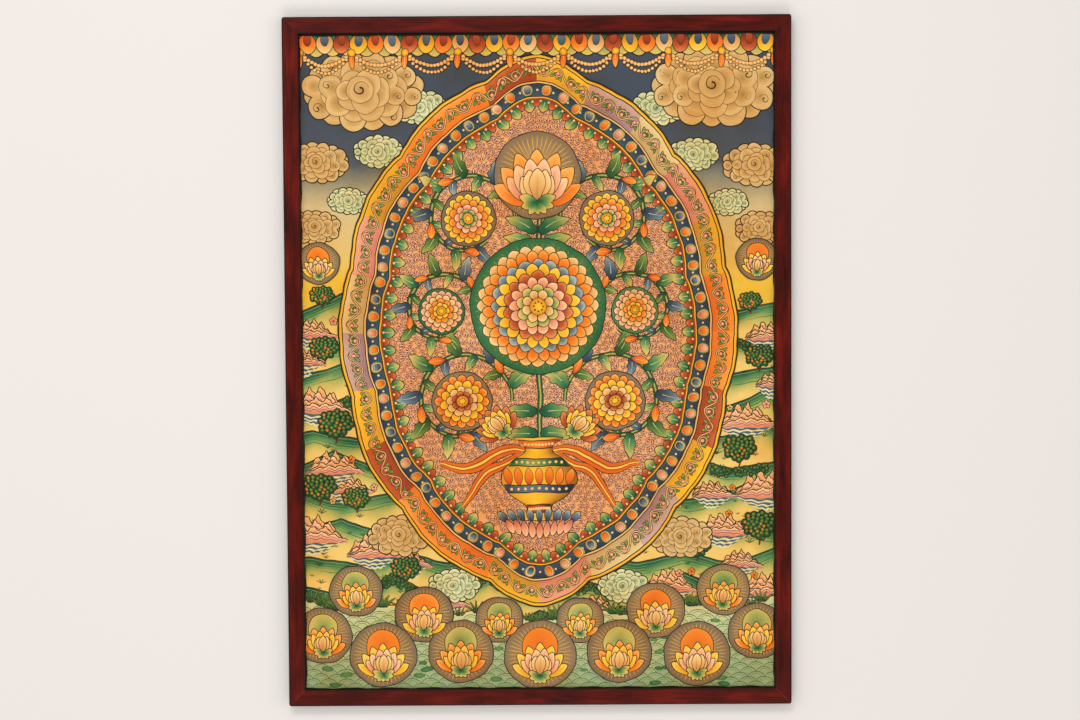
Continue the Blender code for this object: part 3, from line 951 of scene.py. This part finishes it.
def brushField(layer):
    # dense sprays of three narrow leaves, each mauve with a pale heart, which lean along slow waves. They
    # stand on a staggered grid, as far as the field's oval with its drawn-out top and foot
    pitchX, pitchY = 9.6, 8.2    # mm
    gridX, gridY = np.meshgrid(np.arange(-21, 22), np.arange(-37, 38))
    x = (gridX + 0.5 * (gridY % 2)) * pitchX + dice.uniform(-1.2, 1.2, gridX.shape)
    y = gridY * pitchY + panel["middle"] + dice.uniform(-1.2, 1.2, gridX.shape)
    halfX = panel["halfWidth"] - panel["fieldEdge"] + 8
    halfY = panel["halfHeight"] - panel["fieldEdge"] + 10 + panel["peak"] * np.exp(-((x / 45) ** 2))
    keep = (x / halfX) ** 2 + ((y - panel["middle"]) / halfY) ** 2 < 1
    x, y = x[keep][:, None], y[keep][:, None]
    lean = 60 * np.sin(x / 31) + 50 * np.cos(y / 37) + dice.uniform(-20, 20, x.shape)
    fan = np.array([-42, 0, 42])[None, :]
    leaves = makeSpots(x, y, lean + fan, 9.6 + dice.uniform(-1, 1, x.shape), 0.12)
    brushPetals("lac_mauve", layer, leaves, 0.36, (0.0, 0.6), 0.5, 0.8, 0, rows=5, columns=2)
    pale = leaves * [1, 1, 1, 0.82, 1]
    for number, pigment in enumerate(("lac_pink", "shell_cream", "peach_earth")):
        brushPetals(pigment, layer + 0.5, pale[number::3], 0.20, (0.35, 1.0), 0.55, 0.8, 0, rows=4, columns=2)


fieldLayer = panelLayer + 1
brushPanel(panelLayer)
brushField(fieldLayer)
print("picture: lobed panel and its field")


# The flowering vase inside the panel

scrolls = {
    # centre x, centre y, radius and blossom size, mirrored on the other side
    "low": (100.0, -50.0, 66.0, 35.0),
    "middle": (126.0, 68.0, 52.0, 27.0),
    "high": (90.0, 188.0, 60.0, 32.0),
    "turns": 0.86,
    "inEnd": 0.62,
    "leaves": 15,
}


def scrollPath(centreX, centreY, radius, points=60):
    # a branch leaves the stem upwards at its circle's inner side and winds clockwise, its radius shrinking
    t = np.linspace(0, 1, points)[None, :]
    angle = math.pi - 2 * math.pi * scrolls["turns"] * t
    reach = radius * (1 - (1 - scrolls["inEnd"]) * t**1.3)
    return centreX + reach * np.cos(angle), centreY + reach * np.sin(angle)


def brushStems(layer):
    # the stem and six branches, each in three coats, then leaves, buds and the stem's own leaves
    keys = ("low", "middle", "high")
    t = np.linspace(0, 1, 40)[None, :]
    stemX = 2.2 * np.sin(9 * t)
    stemY = -110 + 330 * t
    for pigment, width, lift, tone in (("soot_ink", 8.2, 0, 0.3), ("leaf_green", 6.2, 0.6, 0.3),
                                       ("leaf_green", 2.2, 1.0, 0.95)):
        brushLines(pigment, layer + lift, stemX, stemY, width, tone, taper=0.2)
        for key in keys:
            paths = bothSides(*scrollPath(*scrolls[key][:3]))
            brushLines(pigment, layer + lift, *paths, width * 0.86, tone, taper=0.35)
    leafPaint = {"plump": 0.7, "line": 0.9, "vein": ("pale_verdigris", 0.8, 1.0), "rows": 18}
    for key in keys:
        x, y = (path[0] for path in scrollPath(*scrolls[key][:3], points=200))
        radius = scrolls[key][2]
        places = np.linspace(10, 182, scrolls["leaves"]).astype(int)
        heading = np.degrees(np.arctan2(np.gradient(y)[places], np.gradient(x)[places])) - 90
        side = np.where(np.arange(len(places)) % 2 == 0, 1, -1)
        sizes = radius * np.where(side > 0, 0.56, 0.36) * np.linspace(1.05, 0.8, len(places))
        leaves = makeSpots(x[places], y[places], heading + side * 50, sizes, -side * 0.34)
        for number, pigment in enumerate(("malachite_green", "leaf_green", "azurite_blue")):
            brushPetals(pigment, layer + 1.4, withMirror(leaves[number::3]), 0.5, (0.1, 0.9), 0.42,
                        rim=0.1, lobes=3, **leafPaint)
        buds = makeSpots(x[places[1::4]], y[places[1::4]], heading[1::4] + 12, radius * 0.34)
        brushPetals("red_lead_orange", layer + 2.8, withMirror(buds), 0.46, (0.1, 0.9), 0.55, 0.7, 0.8,
                    vein=("shell_cream", 0.9, 0.7))
    leafY = np.array([-94, -66, -12, 8, 150, 170])
    leaves = makeSpots(2.0, leafY, -np.linspace(76, 48, len(leafY)), 42, 0.3)
    brushPetals("malachite_green", layer + 1.4, withMirror(leaves), 0.42, (0.1, 0.85), 0.42, lobes=3,
                **leafPaint)
    return layer + 4


def flowerRings(outer, middle, inner, heartRing):
    # four rings of petals from the outside in
    return [
        {"count": 16, "outer": 1.0, "inner": 0.62, "pigment": outer, "vein": ("soot_ink", 0.7, 0.5)},
        {"count": 12, "outer": 0.80, "inner": 0.42, "pigment": middle, "start": 11},
        {"count": 9, "outer": 0.58, "inner": 0.26, "pigment": inner, "start": 4},
        {"count": 7, "outer": 0.38, "inner": 0.17, "pigment": heartRing, "start": 17},
    ]


greatRings = [
    {"count": 28, "outer": 1.0, "inner": 0.80, "pigment": "shell_cream"},
    {"count": 28, "outer": 0.92, "inner": 0.66, "pigment": "red_lead_orange", "start": 6.4},
    {"count": 20, "outer": 0.78, "inner": 0.52, "pigment": "azurite_blue"},
    {"count": 20, "outer": 0.70, "inner": 0.44, "pigment": "orpiment_yellow", "start": 9},
    {"count": 14, "outer": 0.58, "inner": 0.32, "pigment": "cinnabar_rust"},
    {"count": 14, "outer": 0.48, "inner": 0.25, "pigment": "lac_pink", "start": 12.8},
    {"count": 9, "outer": 0.36, "inner": 0.16, "pigment": "malachite_green"},
    {"count": 8, "outer": 0.27, "inner": 0.11, "pigment": "shell_cream", "start": 20},
]

vase = {
    "foot": -206.0,
    "height": 108.0,         # mm
    # share of the height up from the foot, half-width in mm
    "outline": [(0.0, 27), (0.05, 29), (0.10, 17), (0.18, 15), (0.30, 36), (0.46, 50), (0.60, 48), (0.74, 31),
                (0.82, 16), (0.90, 17), (0.97, 31), (1.0, 32)],
    "bands": [(0.10, 0.18, "cinnabar_rust"), (0.34, 0.42, "azurite_blue"), (0.66, 0.74, "malachite_green"),
              (0.88, 0.96, "red_lead_orange")],
}


def vaseHalf(share):
    # half-width at a share of the height, eased between the outline's rows
    heights, halves = zip(*vase["outline"])
    near = (np.interp(share - 0.025, heights, halves) + np.interp(share + 0.025, heights, halves)) / 2
    return (np.interp(share, heights, halves) + near) / 2


def brushVase(layer):
    foot, height = vase["foot"], vase["height"]
    # scarves tied round the neck
    t = np.linspace(0, 1, 50)[None, :]
    for reach, drop, wave, size in ((116, 26, 10, 15), (86, 66, -8, 12)):
        y = foot + 0.84 * height - drop * t**1.4 + wave * t**0.5 * np.sin(7.5 * t)
        paths = bothSides(14 + reach * t, y)
        strokes = (("soot_ink", size + 2, 0, 0.3), ("red_lead_orange", size, 0.6, 0.35),
                   ("cinnabar_rust", size * 0.42, 0.8, 0.5), ("orpiment_yellow", size * 0.2, 1.0, 0.9))
        for pigment, width, lift, tone in strokes:
            brushLines(pigment, layer + lift, *paths, width, tone, taper=0.7)
        layer += 0.3
    # the body, lit from the left, with its bands
    share = np.linspace(0, 1, 60)[:, None]
    across = np.linspace(-1, 1, 13)[None, :]
    shade = -0.6 * np.abs(across + 0.25) ** 1.6
    layPaint("soot_ink", layer + 1, across * (vaseHalf(share) + 1.2),
             foot + height * share + 1.2 * (2 * share - 1), 0.3)
    layPaint("orpiment_yellow", layer + 1.6, across * vaseHalf(share), foot + height * share, 0.75 + shade)
    for low, high, pigment in vase["bands"]:
        part = np.linspace(low, high, 7)[:, None]
        middle = (low + high) / 2
        layPaint("soot_ink", layer + 1.9, across * vaseHalf(part),
                 foot + height * (part + (part - middle) * 0.3), 0.3)
        layPaint(pigment, layer + 2.3, across * (vaseHalf(part) - 0.6), foot + height * part, 0.6 + shade)
        beads = makeSpots(np.linspace(-0.82, 0.82, 9) * vaseHalf(middle), foot + height * middle, 0, 2.0)
        brushRings("shell_cream", layer + 2.7, beads, tones=(1, 0.6), segments=9, rows=2)
    body = makeSpots(np.linspace(-38, 38, 7), foot + height * 0.43, -np.linspace(-16, 16, 7), 22)
    brushPetals("red_lead_orange", layer + 2.4, body, 0.48, (0.1, 0.9), 0.5, 0.65, 0.6)
    # two rows of petals at the foot
    petals = np.linspace(-60, 60, 9)
    base = makeSpots(petals * 0.72, foot - 3 + np.abs(petals) * 0.06, -petals * 0.5 + 180, 21)
    brushPetals("lac_pink", layer + 3, base, 0.40, (0.1, 0.95), 0.55, 0.6, 0.8, rim=0.1)
    upper = makeSpots(petals * 0.7, foot - 2, -petals * 0.7, 17)
    brushPetals("azurite_blue", layer + 2.4, upper, 0.5, (0.1, 0.95), 0.55, 0.6, 0.8, rim=0.1)


blossomLayer = brushStems(fieldLayer + 2)
brushVase(blossomLayer)
blossomColours = {
    "low": ("taupe_earth", ("red_lead_orange", "orpiment_yellow", "shell_cream", "cinnabar_rust")),
    "middle": ("malachite_green", ("lac_pink", "shell_cream", "red_lead_orange", "orpiment_yellow")),
    "high": ("taupe_earth", ("orpiment_yellow", "red_lead_orange", "lac_pink", "malachite_green")),
}
for key, (ground, colours) in blossomColours.items():
    centreX, centreY, _, size = scrolls[key]
    flowers = withMirror(makeSpots(centreX, centreY, 0, size))
    brushMedallions(blossomLayer, flowers * [1, 1, 1, 1.10, 1], ground, 36, 0.8)
    brushBlossoms(blossomLayer + 2, flowers, flowerRings(*colours))
# on the middle line: height above the picture's middle and size in mm
greatField, greatBlossom, topField, topLotus = (
    makeSpots(0, height, 0, size) for height, size in ((74, 88), (74, 79), (244, 56), (206, 72)))
brushMedallions(blossomLayer, greatField, "malachite_green", 72, 0.84)
brushBlossoms(blossomLayer + 2, greatBlossom, greatRings)
brushMedallions(blossomLayer, topField, "taupe_earth", 48, 0.3)
brushLotuses(blossomLayer + 2, topLotus, "red_lead_orange", "lac_pink", "shell_cream")
brushLotuses(blossomLayer + 4, withMirror(makeSpots(46, -92, -38, 38)), "cinnabar_rust", "orpiment_yellow",
             "shell_cream")
print("picture: vase, scrolls and blossoms")


# The garland along the top and the lotus pond along the foot

garland = {
    "top": 426.0,
    "lappets": 28,
    "lappetLength": 25.0,
    "swags": 9,
    "swagDrop": 17.0,
    "pearls": 15,
    "pearlSize": 2.5,
}


def brushGarland(layer):
    # lappets hang edge to edge over a green row half a step aside, and under them two rows of pearls hang in
    # parabolas between knots
    top, length = garland["top"], garland["lappetLength"]
    pitch = cloth["sightWidth"] / garland["lappets"]
    x = (np.arange(garland["lappets"] + 1) - garland["lappets"] / 2) * pitch
    under = makeSpots(x, top + 2, 180, length * 1.16)
    brushPetals("malachite_green", layer, under, 0.86, (0.15, 0.9), 0.5, 0.5, 0.9)
    for number, pigment in enumerate(("red_lead_orange", "shell_cream", "cinnabar_rust", "orpiment_yellow")):
        over = makeSpots(x[number:-1:4] + pitch / 2, top + 2, 180, length)
        brushPetals(pigment, layer + 1.2, over, 0.86, (0.1, 0.95), 0.5, 0.5, 0.9)
        heart = ("cinnabar_rust", "azurite_blue")[number % 2]
        brushPetals(heart, layer + 2.2, over * [1, 1, 1, 0.62, 1], 0.6, (0.6, 0.3), 0.5, 0.5, 0.5)
    span = cloth["sightWidth"] / garland["swags"]
    knots = (np.arange(garland["swags"] + 1) - garland["swags"] / 2) * span
    t = ((np.arange(garland["pearls"]) + 0.5) / garland["pearls"])[None, :]
    hung = top - length + 3
    for drop, size in ((1.0, 1.0), (1.55, 0.85)):
        y = hung - 4 * garland["swagDrop"] * drop * t * (1 - t)
        pearls = makeSpots(knots[:-1, None] + span * t, y, 0, garland["pearlSize"] * size)
        brushRings("shell_cream", layer + 2.4, pearls, tones=(1.0, 0.45), segments=10, line=0.6)
    brushPetals("red_lead_orange", layer + 3.4, makeSpots(knots, hung + 3, 180, 24), 0.3, (0.2, 0.9), 0.6,
                0.6, 0.7, vein=("shell_cream", 0.9, 0.8))
    brushRings("orpiment_yellow", layer + 4.4, makeSpots(knots, hung, 0, 4.6), tones=(0.9, 0.3), segments=14,
               line=0.7)


pond = {
    # place and size in mm; all but the first stand on both sides
    "orangeHaloes": [(0, -398, 41), (206, -398, 38), (152, -340, 33), (286, 124, 24)],
    "greenHaloes": [(104, -393, 37), (285, -368, 33), (241, -307, 30), (53, -348, 27)],
    "nearBelow": -360.0,     # mm; haloes below this height lie over the rims of the others
    "waveRows": 17,
    "waveStep": 6.4,         # mm
    "waveLength": 22,        # mm
    "reeds": 58,             # tufts
    "pads": 64,
    "shore": -340.0,
}


def shoreLine(x):
    # scallops of 12 mm on a shallow parabola
    return pond["shore"] + 12 * np.abs(np.sin(x / 43)) + 0.00024 * x**2


def brushPond(layer):
    x = np.linspace(-0.5, 0.5, 240)[None, :] * cloth["sightWidth"]
    shore = shoreLine(x)
    down = np.linspace(0, 1, 15)[:, None]
    layPaint("pale_verdigris", layer, x, shore + (-430 - shore) * down, 0.78 - 0.42 * down)
    brushLines("soot_ink", layer + 0.4, x, shore + 1.5, 1.4, 0.4, taper=0)
    brushLines("shell_cream", layer + 0.5, x, shore, 1.8, 0.9, taper=0)
    t = np.linspace(0, math.pi, 13)[None, :]
    for row in range(pond["waveRows"]):
        level = pond["shore"] + 15 - row * pond["waveStep"]
        centres = np.arange(-310, 320, pond["waveLength"]) + pond["waveLength"] / 2 * (row % 2)
        centres = centres[level + 9 < shoreLine(centres)][:, None]
        for radius, tone in ((10.4, 0.2), (6.4, 0.5)):
            brushLines("malachite_green", layer + 0.6, centres + radius * np.cos(t),
                       level + radius * 0.62 * np.sin(t), 0.9, tone, taper=0.4)
    # reeds lean outwards from tufts on the shore, and lily pads are flattened discs
    tuftX = dice.uniform(-300, 300, (pond["reeds"], 1))
    blades = np.array([-34, -15, 3, 18, 36])[None, :]
    reeds = makeSpots(tuftX - 0.1 * blades, shoreLine(tuftX) - 2, blades,
                      dice.uniform(9, 17, (pond["reeds"], 1)), -blades / 160)
    brushPetals("leaf_green", layer + 1, reeds, 0.15, (0.1, 0.8), 0.4, 0.8, 0.45, rows=7)
    pads = makeSpots(dice.uniform(-300, 300, pond["pads"]), dice.uniform(-425, -338, pond["pads"]), 0,
                     dice.uniform(4, 8, pond["pads"]))
    brushRings("malachite_green", layer + 1, pads, tones=(0.42, 0.3), flat=0.42, segments=20, line=0.5)
    # lotuses, each before a halo on a round field
    groups = (("orangeHaloes", "red_lead_orange", ("orpiment_yellow", "lac_pink")),
              ("greenHaloes", "malachite_green", ("red_lead_orange", "orpiment_yellow")))
    for key, haloPigment, petals in groups:
        x, y, size = np.array(pond[key], float).T
        spots = withMirror(makeSpots(x, y, 0, size))
        x, y, _, size, _ = np.unique(spots.round(6) + 0.0, axis=0).T    # so that the middle one is there once
        y = y + dice.uniform(-3, 3, len(y))
        discs = makeSpots(x, y + size * 0.34, 0, size * 1.14)
        near = y < pond["nearBelow"]
        brushMedallions(layer + 2, discs[~near], "taupe_earth", 44, 0.3, 0.96)
        brushMedallions(layer + 3.6, discs[near], "taupe_earth", 44, 0.3, 0.96)
        haloes = makeSpots(x, y + size * 0.62, 0, size * 0.58)
        brushRings(haloPigment, layer + 5.2, haloes, tones=(0.45, 0.75), segments=44, line=0.9)
        brushLotuses(layer + 6.6, makeSpots(x, y - size * 0.38, 0, size * 1.1), *petals, "shell_cream")


def brushBorderAndTopShadow(layer):
    # a line of ink round the picture: ribbons just inside the sight edge. Along its top the ink is twice as
    # wide, and that extra width is painted shadow under the top rail
    halfX, halfY = cloth["sightWidth"] / 2, cloth["sightHeight"] / 2
    along = np.linspace(-1, 1, 130)[None, :]
    under = -3.0    # mm by which a ribbon starts outside the edge, where layPaint stops it
    # 2.8 mm at the top against 1.4 mm elsewhere: the extra width is painted shadow
    for side, width, uprightWidth in ((-1, 1.4, 1.4), (1, 2.8, 1.4)):
        across = np.array([under, width])[:, None]
        layPaint("soot_ink", layer, along * halfX, side * (halfY - across), 0.1)
        across = np.array([under, uprightWidth])[:, None]
        layPaint("soot_ink", layer, side * (halfX - across), along * halfY, 0.1)


brushGarland(panelLayer + 8)
brushPond(panelLayer + 8)
brushBorderAndTopShadow(panelLayer + 28)
print("picture: garland, pond and border")


# All the coats of one pigment become one mesh

def makePaint():
    pieces = []
    for pigment, parts in coats.items():
        starts = np.cumsum([0] + [len(points) for points, _, _ in parts])
        points = np.concatenate([points for points, _, _ in parts])
        quads = np.concatenate([quads + start for (_, quads, _), start in zip(parts, starts)])
        tones = np.concatenate([tones for _, _, tones in parts])
        mesh = meshFromArrays(pigment, points * mm, quads)
        toneData = mesh.attributes.new("tone", "FLOAT", "POINT")
        toneData.data.foreach_set("value", tones.astype(np.float32))
        flatMap = mesh.uv_layers.new(name="OFBake")
        corners = points[quads.ravel(), :2] / [cloth["width"], cloth["height"]] + 0.5
        flatMap.data.foreach_set("uv", corners.astype(np.float32).ravel())
        pieces.append(addPiece("paint_" + pigment, mesh, cottonPaint(pigment, pigments[pigment])))
        print(f"paint: {pigment}, {2 * len(quads)} triangles")
    return pieces


paintPieces = makePaint()


# Floor, light and camera

studio = {
    "floorSize": 60.0,
    "floorColour": "#e0dbd7",
    "worldColour": "#fffaf6",
    "worldStrength": 0.42,
    # name, place, size in metres and watts; each looks at the picture's middle
    "lamps": [("top_softbox", (-0.4, 1.8, 2.5), (1.6, 0.8), 38.0),
              ("left_softbox", (-2.2, 0.2, 2.4), (1.6, 2.0), 20.0),
              ("right_softbox", (2.2, 0.1, 2.4), (1.6, 2.0), 17.0),
              ("foot_softbox", (0.0, -2.0, 2.5), (2.2, 1.2), 32.0)],
    "cameraPlace": (0.0076, 0.1102, 2.5169),
    "cameraTurn": (-2.438, 0.110, -0.341),    # degrees
    "lens": 64.0,
}


def makeStudio():
    half = studio["floorSize"] / 2
    corners = np.array([(-half, -half, 0), (half, -half, 0), (half, half, 0), (-half, half, 0)])
    floorMesh = meshFromArrays("studio_floor", corners, np.array([[0, 1, 2, 3]]))
    material, _, shader = newMaterial("matt_paper_floor", roughness=0.9, specular=0.1)
    shader.inputs["Base Color"].default_value = hexToLinear(studio["floorColour"])
    floorMesh.materials.append(material)
    floor = bpy.data.objects.new("studio_floor", floorMesh)
    bpy.context.scene.collection.objects.link(floor)
    world = bpy.data.worlds.new("studio_air")
    world.use_nodes = True
    sky = world.node_tree.nodes["Background"]
    sky.inputs["Color"].default_value = hexToLinear(studio["worldColour"])
    sky.inputs["Strength"].default_value = studio["worldStrength"]
    bpy.context.scene.world = world
    for name, place, size, watts in studio["lamps"]:
        lamp = bpy.data.lights.new(name, "AREA")
        lamp.shape = "RECTANGLE"
        lamp.size, lamp.size_y = size
        lamp.energy = watts
        holder = bpy.data.objects.new(name, lamp)
        holder.location = place
        x, y, z = place
        holder.rotation_euler = (math.atan2(math.hypot(x, y), z), 0, math.atan2(y, x) + math.pi / 2)
        bpy.context.scene.collection.objects.link(holder)
    camera = bpy.data.cameras.new("camera")
    camera.lens = studio["lens"]
    view = bpy.data.objects.new("camera", camera)
    view.location = studio["cameraPlace"]
    view.rotation_euler = [math.radians(a) for a in studio["cameraTurn"]]
    bpy.context.scene.collection.objects.link(view)
    bpy.context.scene.camera = view
    bpy.context.scene.view_settings.view_transform = "Standard"


makeStudio()
print("studio: floor, softboxes and camera")
